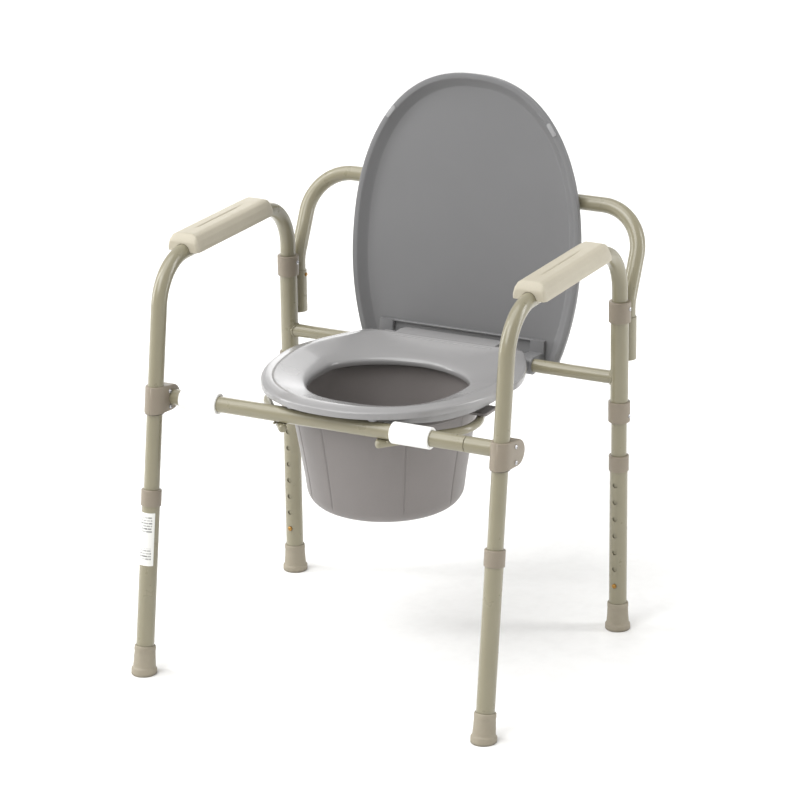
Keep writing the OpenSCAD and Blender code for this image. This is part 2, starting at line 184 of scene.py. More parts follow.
def tones(rgb, spread):
    """A colour a little darker, as it is, and a little lighter."""
    return [linear([max(0, min(255, c + d)) for c in rgb]) for d in (-spread, 0, spread)]


def surface(name, rgb, rough, spread=3, grain=1200, relief=0.1, depth=0.0002, clouds=9,
            fleck=0.97, patchy=0.05, **sockets):
    """A moulded or coated surface: slow drifts of tone, a fine grain, and patchy gloss.

    spread is in sRGB levels, clouds and grain are the scales of the slow and the fine noise,
    relief and depth are the bump's strength and its distance in metres, fleck is the tone of the
    darkest specks and patchy the swing in roughness."""
    n = Nodes(name)
    colour = n.drift(n.noise(clouds, 4, 0.6), rgb, spread)
    specks = n.noise(grain * 0.6, 2, 0.7)
    speck_tone = n.ramp(specks, [(0.35, (fleck, fleck, fleck, 1)), (0.6, (1, 1, 1, 1))])
    colour = n.mix(1.0, colour, speck_tone, "MULTIPLY")
    gloss = n.span(n.noise(clouds * 7, 3, 0.5), rough - patchy, rough + patchy)
    fine = n.bump(n.noise(grain, 2, 0.55), relief, depth)
    normal = n.bump(n.noise(grain * 0.16, 2, 0.5), relief * 0.6, depth * 1.5, fine)
    return n.finish(Base_Color=colour, Roughness=gloss, Normal=normal, **sockets)


def metal(name, rgb, rough):
    """Turned metal with fine scratches and dull patches."""
    n = Nodes(name)
    colour = n.drift(n.noise(240, 5, 0.7), rgb, 14)
    gloss = n.span(n.noise(600, 4, 0.7), rough - 0.1, rough + 0.14)
    normal = n.bump(n.noise(1800, 3, 0.6), 0.12, 0.0001)
    return n.finish(Base_Color=colour, Roughness=gloss, Normal=normal, Metallic=1.0)


def rubber(name, rgb, rough):
    """Moulded rubber, with a darker, worn foot where it meets the floor."""
    # the worn band's height above the floor in metres, and its share of the colour
    foot_low, foot_high, foot_tone = 0.0005, 0.004, 0.5
    n = Nodes(name)
    colour = n.drift(n.noise(30, 5, 0.65), rgb, 5)
    split = n.add("ShaderNodeSeparateXYZ")
    n.link(n.where, split.inputs[0])
    low = n.span(split.outputs["Z"], 1.0, 0.0, foot_low, foot_high)
    worn = n.add("ShaderNodeMath", operation="MULTIPLY")
    n.link(low, worn.inputs[0])
    n.link(n.noise(160, 4, 0.7), worn.inputs[1])
    colour = n.mix(worn.outputs[0], colour, linear([c * foot_tone for c in rgb]))
    gloss = n.span(n.noise(90, 4, 0.6), rough - 0.06, rough + 0.08)
    normal = n.bump(n.noise(1500, 3, 0.6), 0.2, 0.0002)
    return n.finish(Base_Color=colour, Roughness=gloss, Normal=normal)


def label_film(name):
    """White film with plain printed bars: rows of short blocks, and no lettering."""
    n = Nodes(name)
    white = linear((238, 238, 234))
    uv = n.add("ShaderNodeTexCoord").outputs["UV"]
    bars = n.add("ShaderNodeTexBrick", offset=0.37, squash=1.6, squash_frequency=3)
    for key, value in (("Scale", 1.0), ("Mortar Size", 0.012), ("Mortar Smooth", 0.1),
                       ("Bias", 0.0), ("Brick Width", 0.21), ("Row Height", 0.052),
                       ("Color1", linear((120, 120, 120))), ("Color2", linear((205, 205, 202))),
                       ("Mortar", white)):
        bars.inputs[key].default_value = value
    n.link(uv, bars.inputs["Vector"])
    split = n.add("ShaderNodeSeparateXYZ")
    n.link(uv, split.inputs[0])

    def between(source, low, high):
        up = n.add("ShaderNodeMath", operation="GREATER_THAN")
        down = n.add("ShaderNodeMath", operation="LESS_THAN")
        both = n.add("ShaderNodeMath", operation="MULTIPLY")
        for node, limit in ((up, low), (down, high)):
            n.link(source, node.inputs[0])
            node.inputs[1].default_value = limit
        n.link(up.outputs[0], both.inputs[0])
        n.link(down.outputs[0], both.inputs[1])
        return both.outputs[0]

    # two printed blocks, one near the top and one near the foot, inside a white margin
    across = n.mix(between(split.outputs["X"], 0.14, 0.86), white, bars.outputs["Color"])
    upper = n.mix(between(split.outputs["Y"], 0.62, 0.93), white, across)
    colour = n.mix(between(split.outputs["Y"], 0.1, 0.33), upper, across)
    normal = n.bump(n.noise(500, 2, 0.5), 0.05, 0.0001)
    gloss = n.span(n.noise(60, 3, 0.5), 0.28, 0.4)
    return n.finish(Base_Color=colour, Roughness=gloss, Normal=normal)


MATERIALS = {
    "frame_paint": surface("frame_paint", (138, 132, 109), 0.3, 3, 1500, 0.04, 0.0001, 7, 0.985,
                           0.03, Coat_Weight=0.45, Coat_Roughness=0.14),
    "fitting_plastic": surface("fitting_plastic", (139, 129, 114), 0.44, 4, 1300, 0.16, clouds=14),
    "armrest_plastic": surface("armrest_plastic", (185, 178, 160), 0.5, 3, 900, 0.2, 0.0003, 12),
    "seat_plastic": surface("seat_plastic", (147, 146, 146), 0.26, 1, 600, 0.004, 0.00005, 2,
                            0.995, 0.015, Coat_Weight=0.3, Coat_Roughness=0.1),
    "lid_plastic": surface("lid_plastic", (116, 116, 117), 0.36, 2, 1500, 0.03, 0.0001, 3, 0.985,
                           0.02),
    "bucket_plastic": surface("bucket_plastic", (126, 121, 119), 0.42, 3, 1100, clouds=6),
    "sleeve_plastic": surface("sleeve_plastic", (252, 252, 250), 0.35, 2, 1200, 0.08, 0.00015, 12),
    "button_brass": metal("button_brass", (158, 120, 66), 0.32),
    "screw_steel": metal("screw_steel", (190, 190, 192), 0.2),
    "tip_rubber": rubber("tip_rubber", (148, 140, 123), 0.56),
    "bumper_rubber": rubber("bumper_rubber", (150, 150, 151), 0.5),
    "label_film": label_film("label_film"),
}
# dark brown painted shade: put inside the leg holes and under the front clamps where there is only
# shadow, not a surface colour
PAINTED_SHADE = surface("painted_shade", (64, 57, 44), 0.7, 3, 900, 0.2)


# ------------------------------------------------------------------ shapes
def circle(n):
    """n angles evenly round a turn."""
    return [2 * math.pi * i / n for i in range(n)]


def loft(rings, closed=False):
    """Quads between rings of equal length. closed joins the last ring to the first."""
    n, m = len(rings[0]), len(rings)
    verts = [Vector(p) for ring in rings for p in ring]
    faces = []
    for k in range(m if closed else m - 1):
        a, b = k * n, (k + 1) % m * n
        faces += [(a + i, a + (i + 1) % n, b + (i + 1) % n, b + i) for i in range(n)]
    if not closed:
        faces += [tuple(reversed(range(n))), tuple(range((m - 1) * n, m * n))]
    return verts, faces


def lathe(profile, n=64, closed=False):
    """Turns (radius, height) points round Z. closed is for a ring's whole section."""
    turn = [(math.cos(a), math.sin(a)) for a in circle(n)]
    return loft([[(r * c, r * s, z) for c, s in turn] for r, z in profile], closed)


def rounded(points, radii, closed=True, parts=5):
    """A 2-D or 3-D polyline with an arc at each corner. radii is one number or one per point."""
    nearly_straight, longest_cut = 0.02, 0.49  # radians, and share of a side
    points = [Vector(p) for p in points]
    n, out = len(points), []
    for i, p in enumerate(points):
        r = radii[i] if hasattr(radii, "__len__") else radii
        if r <= 0 or (not closed and i in (0, n - 1)):
            out.append(p)
            continue
        a, b = (points[i - 1] - p), (points[(i + 1) % n] - p)
        la, lb = a.length, b.length
        a, b = a / la, b / lb
        angle = math.acos(max(-1, min(1, a.dot(b))))
        if angle > math.pi - nearly_straight:
            out.append(p)
            continue
        reach = min(r / math.tan(angle / 2), la * longest_cut, lb * longest_cut)
        real = reach * math.tan(angle / 2)
        centre = p + (a + b).normalized() * (real / math.sin(angle / 2))
        u, v = (p + a * reach - centre) / real, (p + b * reach - centre) / real
        turn = math.acos(max(-1, min(1, u.dot(v))))
        for k in range(parts + 1):
            t = k / parts
            along = u * math.sin((1 - t) * turn) + v * math.sin(t * turn)
            out.append(centre + along / math.sin(turn) * real)
    return out


def tube(outer, inner, low, high):
    """A straight tube along Z, with softened ends."""
    edge = 0.5
    section = [(outer, low + edge), (outer, high - edge), (outer - edge, high),
               (inner + edge, high), (inner, high - edge), (inner, low + edge),
               (inner + edge, low), (outer - edge, low)]
    return lathe(section, closed=True)


def sweep(path, radius, inner=None, n=44, nose=0.4):
    """A tube, or with no inner radius a rod with rounded ends, along a path."""
    path = [Vector(p) for p in path]
    seg = [(b - a).normalized() for a, b in zip(path, path[1:])]
    tangents = [seg[0]] + [(a + b).normalized() for a, b in zip(seg, seg[1:])] + [seg[-1]]
    side, frames = tangents[0].orthogonal(), []
    for point, t in zip(path, tangents):
        side = (side - t * side.dot(t)).normalized()
        frames.append((point, t, side, t.cross(side)))

    def ring(at, r, along=0.0):
        p, t, u, v = frames[at]
        return [p + t * along + (u * math.cos(a) + v * math.sin(a)) * r for a in circle(n)]

    last = len(path) - 1
    if inner is not None:
        e = 0.3
        rings = [ring(0, radius - e), ring(0, radius, e)]
        rings += [ring(i, radius) for i in range(1, last)]
        rings += [ring(last, radius, -e), ring(last, radius - e)]
        rings += [ring(last, inner + e), ring(last, inner, -e)]
        rings += [ring(i, inner) for i in range(last - 1, 0, -1)]
        rings += [ring(0, inner, e), ring(0, inner + e)]
        return loft(rings, closed=True)
    curve = [math.radians(15 * k) for k in range(7)]
    radii = [radius - nose + nose * math.sin(a) for a in curve]
    rings = [ring(0, r, nose - nose * math.cos(a)) for r, a in zip(radii, curve)]
    rings += [ring(i, radius) for i in range(1, last)]
    ends = reversed(list(zip(radii, curve)))
    rings += [ring(last, r, nose * math.cos(a) - nose) for r, a in ends]
    return loft(rings)


def offset(points, by):
    """A counter-clockwise outline moved inwards."""
    out, n = [], len(points)
    for i, p in enumerate(points):
        a, b = points[i - 1], points[(i + 1) % n]
        da, db = (p - a), (b - p)
        if da.length < 1e-6 or db.length < 1e-6:
            out.append(p)
            continue
        na, nb = Vector((-da.y, da.x)).normalized(), Vector((-db.y, db.x)).normalized()
        mid = na + nb
        out.append(p + mid * (by / max(0.3, 1 + na.dot(nb))))
    return out


def slab(points, low, high, edge):
    """An outline in X and Y given thickness along Z, with rounded edges."""
    points = [Vector(p[:2]) for p in points]
    rings = []
    for a in (math.radians(v) for v in (0, 30, 60, 90)):
        drawn_in = offset(points, edge * (1 - math.sin(a)))
        rings.append([(p.x, p.y, low + edge * (1 - math.cos(a))) for p in drawn_in])
    rings += [[(x, y, low + high - z) for x, y, z in ring] for ring in reversed(rings)]
    return loft(rings)


def box(x0, x1, y0, y1, z0, z1, corner, edge):
    return slab(rounded([(x0, y0), (x1, y0), (x1, y1), (x0, y1)], corner), z0, z1, edge)


def build(name, parts, material, body, replaces=(), sharp=35, weld=0.0):
    """One object from (shape, matrix) parts, riding on a body and painted with a slot's finish.

    sharp is the angle in degrees past which an edge is left hard."""
    mesh = bpy.data.meshes.new(name)
    bm = bmesh.new()
    for (verts, faces), matrix in parts:
        made = [bm.verts.new(matrix @ v) for v in verts]
        for face in faces:
            bm.faces.new([made[i] for i in face])
    if weld:
        bmesh.ops.remove_doubles(bm, verts=bm.verts, dist=weld)
        bmesh.ops.dissolve_degenerate(bm, edges=bm.edges, dist=weld)
    bmesh.ops.recalc_face_normals(bm, faces=bm.faces)
    bm.to_mesh(mesh)
    bm.free()
    mesh.shade_smooth()
    mesh.set_sharp_from_angle(angle=math.radians(sharp))
    obj = bpy.data.objects.new(name, mesh)
    bpy.context.scene.collection.objects.link(obj)
    # a material name that MATERIALS lacks gets the dark painted-shade material
    mesh.materials.append(MATERIALS.get(material) or PAINTED_SHADE)
    if body:
        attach(obj, body)
    if replaces:
        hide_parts(*replaces)
    return obj


def cut(obj, parts):
    """Cuts the parts out of obj and keeps the result as its mesh."""
    cutter = build(obj.name + "_cutter", parts, "painted_shade", None)
    mod = obj.modifiers.new("cut", "BOOLEAN")
    mod.operation, mod.solver, mod.object = "DIFFERENCE", "EXACT", cutter
    bpy.context.view_layer.update()
    depsgraph = bpy.context.evaluated_depsgraph_get()
    result = bpy.data.meshes.new_from_object(obj.evaluated_get(depsgraph))
    obj.modifiers.remove(mod)
    old, obj.data = obj.data, result
    result.name = obj.name
    bpy.data.meshes.remove(old)
    while len(result.materials) > 1:
        result.materials.pop()
    result.polygons.foreach_set("material_index", [0] * len(result.polygons))
    result.shade_smooth()
    result.set_sharp_from_angle(angle=math.radians(30))
    bpy.data.objects.remove(cutter)


def screw_head(radius, height, rings=14, n=48):
    """A domed screw head with a cross recess, its flat side at Z 0."""
    foot, arm_half, arm_long = radius * 0.97, radius * 0.16, radius * 0.62
    rows = [[(foot * math.cos(a), foot * math.sin(a), 0) for a in circle(n)]]
    for k in range(rings):
        r = radius * (1 - k / (rings - 0.6))
        dome = height * 0.35
        if k:
            dome = height * math.sqrt(max(0.0, 1 - (r / radius) ** 2 * 0.82))
        row = []
        for a in circle(n):
            x, y = r * math.cos(a), r * math.sin(a)
            arm = max(min(1.0, (arm_half - min(abs(x), abs(y))) / (radius * 0.06)), 0.0)
            reach = max(min(1.0, (arm_long - r) / (radius * 0.1)), 0.0)
            row.append((x, y, dome - height * 0.75 * arm * reach))
        rows.append(row)
    return loft(rows)


def bead(main_r, branch_r, width=1.7, n=72):
    """A weld bead round a branch tube along X where it meets a tube along Z."""
    rings, ahead = [], Vector((1, 0, 0))
    for a in circle(n):
        y, z = branch_r * math.cos(a), branch_r * math.sin(a)
        x = math.sqrt(max(0.1, main_r**2 - y**2))
        w = width * (1 + 0.12 * math.sin(9 * a) + 0.07 * math.sin(23 * a))
        out, at = Vector((0, math.cos(a), math.sin(a))), Vector((x, y, z))
        rings.append([at + out * (w * math.cos(t)) + ahead * (w * math.sin(t)) for t in circle(10)])
    return loft(rings, closed=True)


# ------------------------------------------------------------------ camera, light and floor
AZIMUTH, ELEVATION, ROLL = 27.682216, 18.685821, -0.767090
LENS, SHIFT_X, SHIFT_Y = 160.417, -0.004164, -0.025648
CAMERA_AT = (2.1911, -4.1462, 1.9777)


def place_camera():
    a, e, r = (math.radians(v) for v in (AZIMUTH, ELEVATION, ROLL))
    back = Vector((math.sin(a) * math.cos(e), -math.cos(a) * math.cos(e), math.sin(e)))
    right = Vector((math.cos(a), math.sin(a), 0))
    up = back.cross(right)
    rolled_right = right * math.cos(r) + up * math.sin(r)
    rolled_up = up * math.cos(r) - right * math.sin(r)
    data = bpy.data.cameras.new("camera")
    data.sensor_width, data.lens = 36.0, LENS
    data.shift_x, data.shift_y = SHIFT_X, SHIFT_Y
    data.clip_end = 100
    cam = bpy.data.objects.new("camera", data)
    bpy.context.scene.collection.objects.link(cam)
    turn = Matrix((rolled_right, rolled_up, back)).transposed().to_4x4()
    cam.matrix_world = Matrix.Translation(CAMERA_AT) @ turn
    bpy.context.scene.camera = cam


def area_light(name, at, aim, size, power):
    data = bpy.data.lights.new(name, "AREA")
    data.shape, data.size, data.size_y = "RECTANGLE", size[0], size[1]
    data.energy = power
    obj = bpy.data.objects.new(name, data)
    bpy.context.scene.collection.objects.link(obj)
    obj.location = at
    obj.rotation_euler = (Vector(aim) - Vector(at)).to_track_quat("-Z", "Y").to_euler()


def light_room():
    world = bpy.data.worlds.new("studio")
    bpy.context.scene.world = world
    world.use_nodes = True
    tree = world.node_tree
    paths = tree.nodes.new("ShaderNodeLightPath")
    # dim light from the room, a pale backdrop in reflections, and white behind the object
    room, backdrop, behind = 0.31, 0.8, 1.0
    shader = tree.nodes["Background"]
    shader.inputs["Color"].default_value = (1, 0.99, 0.975, 1)
    shader.inputs["Strength"].default_value = room
    for ray, strength in (("Is Glossy Ray", backdrop), ("Is Camera Ray", behind)):
        pale = tree.nodes.new("ShaderNodeBackground")
        pale.inputs["Color"].default_value = (1, 1, 1, 1)
        pale.inputs["Strength"].default_value = strength
        mixer = tree.nodes.new("ShaderNodeMixShader")
        tree.links.new(paths.outputs[ray], mixer.inputs[0])
        tree.links.new(shader.outputs[0], mixer.inputs[1])
        tree.links.new(pale.outputs[0], mixer.inputs[2])
        shader = mixer
    tree.links.new(shader.outputs[0], tree.nodes["World Output"].inputs[0])
    # broad suns: strength, spread in degrees, and turns about X and Y
    panels = (("sky_panel", 1.9, 60, (12, -16)), ("front_panel", 1.2, 36, (47, -14)))
    for name, strength, spread, turn in panels:
        data = bpy.data.lights.new(name, "SUN")
        data.energy, data.angle = strength, math.radians(spread)
        sun = bpy.data.objects.new(name, data)
        bpy.context.scene.collection.objects.link(sun)
        sun.rotation_euler = (math.radians(turn[0]), math.radians(turn[1]), 0)
    # softboxes: place, aim, size in metres and power in watts
    area_light("left_softbox", (-2.2, -0.7, 1.4), (0, 0, 0.4), (0.5, 2.2), 30)
    area_light("right_softbox", (2.3, 1.1, 1.2), (0, 0, 0.4), (0.6, 2.2), 26)
    area_light("back_softbox", (-1.35, 2.5, 1.25), (-0.1, 0, 0.4), (1.2, 1.5), 10)
    bpy.context.scene.view_settings.view_transform = "Standard"


def lay_floor():
    bm = bmesh.new()
    bmesh.ops.create_grid(bm, x_segments=8, y_segments=8, size=30)
    mesh = bpy.data.meshes.new("floor")
    bm.to_mesh(mesh)
    bm.free()
    obj = bpy.data.objects.new("floor", mesh)
    bpy.context.scene.collection.objects.link(obj)
    mesh.materials.append(surface("floor", (250, 250, 249), 0.8, 1, 60, 0.02, 0.0002, 1.5))


place_camera()
light_room()
lay_floor()


# ------------------------------------------------------------------ bent tubes
def side_name(s):
    return "left" if s < 0 else "right"


def front_axis(z_along):
    """A point on the front leg's axis, that far up it from the floor, in the base frame."""
    a = math.radians(LEAN)
    return -LEG_BASE + z_along * math.sin(a), z_along * math.cos(a)


top_y = -LEG_BASE + ARM_Z * math.tan(math.radians(LEAN))
for s in (-1, 1):
    name, x = side_name(s), s * HALF_W
    corners = [(x, 0, LEG_LOW), (x, 0, ARM_Z), (x, top_y, ARM_Z), (x, *front_axis(LEG_LOW))]
    shape = sweep(rounded(corners, BEND_R, False, 20), RO, RI)
    build(name + "_arm_tube", [(shape, BASE)], "frame_paint", "frame", [name + "_arm_frame"])

back_lean = math.radians(BACK_LEAN)
back_top = (BACK_Y + BACK_LEN * math.sin(back_lean), KINK_Z + BACK_LEN * math.cos(back_lean))
corners = [(-BACK_X, BACK_Y, BACK_LOW), (-BACK_X, BACK_Y, KINK_Z), (-BACK_X, *back_top)]
corners += [(-x, y, z) for x, y, z in reversed(corners)]
bends = [0, KINK_R, TOP_R, TOP_R, KINK_R, 0]
shape = sweep(rounded(corners, bends, False, 18), RO, RI)
build("back_bar_tube", [(shape, BASE)], "frame_paint", "back_bar", ["back_bar"])

for s in (-1, 1):
    corners = [(s * x, y, RAIL_Z) for x, y in ((71, -365), (156, -262), (156, -225), (75, -1))]
    shape = sweep(rounded(corners, [0, 60, 60, 0], False, 14), RAIL_R, n=36, nose=3.5)
    build(side_name(s) + "_rail", [(shape, BASE)], "frame_paint", "frame",
          [side_name(s) + "_bucket_rail"])


def crossbar():
    """The crossbar, with its ends cut to sit on the pivot sleeves."""
    turns, bore, sunk = circle(56), AR - WALL, 0.8

    def end(r, side):
        return [(side * (HALF_W - math.sqrt((SO - sunk) ** 2 - (r * math.cos(a)) ** 2)),
                 r * math.cos(a), r * math.sin(a)) for a in turns]

    def middle(r, stops):
        return [[(x, r * math.cos(a), r * math.sin(a)) for a in turns] for x in stops]

    stops = [-200, -100, 0, 100, 200]
    outer = [end(AR, -1)] + middle(AR, stops) + [end(AR, 1)]
    inner = [end(bore, 1)] + middle(bore, reversed(stops)) + [end(bore, -1)]
    return loft(outer + inner, closed=True)


build("rear_cross_tube", [(crossbar(), BASE @ shift(0, 0, AXIS_Z))], "frame_paint", "frame",
      ["rear_crossbar"])
bar_frame = BASE @ shift(0, BAR_Y, BAR_Z) @ TO_X
build("front_bar_tube", [(tube(RO, RI, -BAR_HALF, BAR_HALF), bar_frame)], "frame_paint", "frame",
      ["front_bar"])
for s in (-1, 1):
    low, high = sorted((s * (BAR_HALF + BUTT_GAP), s * (HALF_W + STUB_PAST)))
    build(side_name(s) + "_stub_tube", [(tube(RO, RI, low, high), bar_frame)], "frame_paint",
          "frame", [side_name(s) + "_bar_stub"])

# ------------------------------------------------------------------ lock sleeves
for s, x in ((-1, PARKED_X), (1, LOCKED_X)):
    name = side_name(s)
    section = [(SLEEVE_R, -SLEEVE_HALF), (SLEEVE_R, SLEEVE_HALF),
               (SLEEVE_BORE, SLEEVE_HALF), (SLEEVE_BORE, -SLEEVE_HALF)]
    shape = lathe(rounded(section, [1.6, 1.6, 0.5, 0.5]), 72, closed=True)
    build(name + "_sleeve", [(shape, bar_frame @ shift(0, 0, x))], "sleeve_plastic",
          name + "_lock_sleeve", [name + "_lock_sleeve"])

# ------------------------------------------------------------------ rear sleeves and collars
for s in (-1, 1):
    name, at = side_name(s), rear_leg(s)
    build(name + "_pivot_tube", [(tube(SO, SI, PIVOT_LOW, PIVOT_HIGH), at)], "frame_paint", "frame",
          [name + "_pivot_sleeve"])
    web = BASE @ shift(s * (BACK_X + 0.25), 0, 0)
    parts = [(tube(SO, SI, SOCKET_LOW, SOCKET_HIGH), BASE @ shift(s * BACK_X, BACK_Y, 0)),
             (box(-5, 5, 11.5, 16.5, 408, 452, 0.8, 1.2), web)]
    build(name + "_socket", parts, "frame_paint", "frame", [name + "_back_socket"])
    # each collar grips the sleeve from near to step_z, and the leg inside it from there to far
    collars = (("upper", 461, PIVOT_HIGH, 491), ("lower", 344, PIVOT_LOW, 314))
    for end, near, step_z, far in collars:
        section = [(SO + SLACK, near), (COLLAR_R, near), (COLLAR_R, far),
                   (RO + SLACK, far), (RO + SLACK, step_z), (SO + SLACK, step_z)]
        shape = lathe(rounded(section, [0.2, 0.8, 1.5, 0.5, 0, 0]), 72, closed=True)
        build("%s_%s_ring" % (name, end), [(shape, at)], "fitting_plastic", "frame",
              ["%s_%s_collar" % (name, end)])
    beads = [(bead(SO, AR), at @ shift(0, 0, AXIS_Z) @ rot("Z", 0 if s < 0 else 180))]
    for x in (-5, 5):
        for y in (11.8, 16.2):
            line = [(x, y, 409 + 3 * k) for k in range(15)]
            beads.append((sweep(line, 1.2, n=12, nose=0.8), web))
    build(name + "_rear_welds", beads, "frame_paint", "frame", sharp=60)

rail_welds = []
for s in (-1, 1):
    for dx in (-6.4, 6.4):
        rear_x, front_x = s * 77.5 + dx, s * 79.2 + dx * 1.2
        rear = [(rear_x, -8 + 1.6 * k, RAIL_Z + 4.3 - 0.045 * (k - 3) ** 2) for k in range(6)]
        front = [(front_x, -363 + 2.4 * k, RAIL_Z + 5.2) for k in range(6)]
        rail_welds += [(sweep(line, 1.5, n=14, nose=1.2), BASE) for line in (rear, front)]
build("rail_welds", rail_welds, "frame_paint", "frame", sharp=60)

# ------------------------------------------------------------------ screws
heads = []
for s in (-1, 1):
    for z in (324, 481):
        heads.append((screw_head(3.0, 1.6), rear_leg(s) @ shift(COLLAR_R, 0, z) @ TO_X))
build("collar_screw_heads", heads, "screw_steel", "frame", ["collar_screws"], sharp=50)

heads = []
screw_end = rounded([(0.3, -30.3), (1.7, -30.3), (1.7, -29), (0.3, -29)], 0.1, False)
for s in (-1, 1):
    for z in (-11, 11):
        at = BASE @ shift(s * HALF_W + 15, BAR_Y - 9.2, BAR_Z + z) @ TO_X
        heads += [(screw_head(3.1, 2.0), at @ rot("Z", 30)), (lathe(screw_end, 24), at)]
build("clamp_screw_heads", heads, "screw_steel", "frame", ["clamp_screws"], sharp=50)

heads = []
for s in (-1, 1):
    for y in (-240, -125):
        at = rear_leg(s) @ shift(0, y, ARM_Z - RO) @ rot("X", 180)
        heads.append((screw_head(4.2, 2.2), at))
build("armrest_screw_heads", heads, "screw_steel", "frame", ["armrest_screws"], sharp=50)

# ------------------------------------------------------------------ armrests
PAD_HALF, PAD_FRONT, PAD_REAR, TAPER_Y = 25, -294, -72, -102
TOP = [(PAD_FRONT, 12.5), (-293.4, 14.6), (-287.6, 22.8), (-286.4, 24.1), (-284.6, 24.8),
       (-279, 24.9), (-262, 24.9), (-200, 24.9), (-120, 24.9), (-94, 24.9), (-88, 24.3),
       (-84, 22.6), (-80.5, 19.4), (-77.5, 14.6), (-75, 9), (-73, 3)]
MORE_YS = {-290.5, -285.5, -281.5, -270, -255, -245, -235, -225, -160, -150, -140, -130, -110,
           -94, -88, -82, -72.4}


def at_height(y):
    """The pad's height along its length, from the side profile TOP."""
    for (y0, z0), (y1, z1) in zip(TOP, TOP[1:]):
        if y <= y1:
            return z0 + (z1 - z0) * (y - y0) / (y1 - y0)
    return TOP[-1][1]


def groove_share(y):
    """1 where the top's groove is at its full depth, fading to 0 at both its ends."""
    start, full_from, full_to, stop = -262, -245, -150, -125
    if full_from <= y <= full_to:
        return 1.0
    if y < start or y > stop:
        return 0.0
    return min((y - start) / (full_from - start), (stop - y) / (stop - full_to), 1)


def armrest():
    """A moulded pad: crowned top with a shallow groove in its middle, open over the arm tube."""
    corners = [(PAD_HALF, 0.2), (PAD_HALF, 5.5), (22.4, 15), (18.4, 22), (12.5, 24.4), (0, 24.8)]
    half = rounded(corners, [0, 2.5, 9, 7, 9, 0], False, 6)
    half = [Vector((p.x, p.y)) for p in half[:-1]]
    crown = [Vector((x, 24.6 + 0.1 * (1 - x / 12))) for x in (9, 6, 4, 2.6, 1.8, 1.1, 0.5, 0)]
    right = half + crown
    outer = right + [Vector((-p.x, p.y)) for p in reversed(right[:-1])]
    bore = 11.4
    arc = [math.pi * k / 22 for k in range(23)]
    channel = [(-bore * math.cos(a), bore * math.sin(a) + 0.2) for a in arc]
    sections = []
    for y in sorted({y for y, _ in TOP} | MORE_YS):
        top = at_height(y)
        near = min(y - PAD_FRONT, PAD_REAR - y)
        pull = 3.2 * max(0.0, 1 - near / 6) ** 2
        tail = min(1.0, max(0.0, (y - TAPER_Y) / 30))
        groove = groove_share(y)
        row = []
        for p in outer:
            high = min(1.0, max(0.0, (p.y - 3) / 12))
            x = p.x * (1 - pull / PAD_HALF) * math.sqrt(1 - (0.34 + 0.3 * high) * tail**2.2)
            z = min(p.y, top - max(0.0, (abs(x) - 12) / 13) ** 2 * 2.6 if p.y > 8 else top)
            z -= 1.6 * groove * math.exp(-((p.x / 1.1) ** 2)) if p.y > 20 else 0
            row.append((x, y, max(0.2, z)))
        row += [(x * (1 - 0.12 * tail**2), y, min(z, max(0.25, top - 1.2))) for x, z in channel]
        sections.append(row)
    return loft(sections)


for s in (-1, 1):
    build(side_name(s) + "_arm_pad", [(armrest(), rear_leg(s) @ shift(0, 0, ARM_Z))],
          "armrest_plastic", "frame", [side_name(s) + "_armrest"], sharp=42)


# ------------------------------------------------------------------ legs
def leg_tube():
    """An extension's tube, with rings close enough together for the holes to cut cleanly."""
    low, high = 6, 258
    stops = [6.4 + 12.58 * k for k in range(21)]
    section = [(SO - 0.4, low)] + [(SO, z) for z in stops]
    section += [(SO - 0.4, high), (SI + 0.3, high), (SI, 257.6)]
    section += [(SI, z) for z in reversed(stops)] + [(SI + 0.3, low)]
    return lathe(section, 96, closed=True)


def leg_tip():
    """Cuff with a rolled lip, a flaring skirt, and a base ring round a hollow sole."""
    sole = [(0.5, 1.2), (12.5, 1.2), (13.2, 0.0), (17.2, 0.0), (17.9, 0.8), (18.0, 2.0)]
    skirt = [(18.0, 7.2), (17.6, 8.3), (16.5, 9.3), (16.0, 10.6), (15.7, 14), (15.2, 22)]
    cuff = [(14.85, 30), (14.7, 33), (15.0, 34), (15.1, 35.2), (14.95, 39.4), (14.3, 40.7)]
    bore = [(13.4, 41), (12.85, 40.6), (12.75, 39.5), (12.75, 6.1), (0.5, 6.1)]
    return lathe(sole + skirt + cuff + bore, 72)


def level(shape):
    """The tip of a leaning leg, its lowest part moved so that the sole is level with the floor."""
    slope, base_top, fade_top = math.tan(math.radians(LEAN)), 6, 7.2
    verts, faces = shape
    moved = []
    for v in verts:
        drop = slope * v.y * max(0.0, 1 - v.z / fade_top)
        moved.append(Vector((v.x, v.y, v.z if v.z > base_top else v.z - drop)))
    return moved, faces


DRILL = lathe([(HOLE_R, 6), (HOLE_R, 18)], 32)
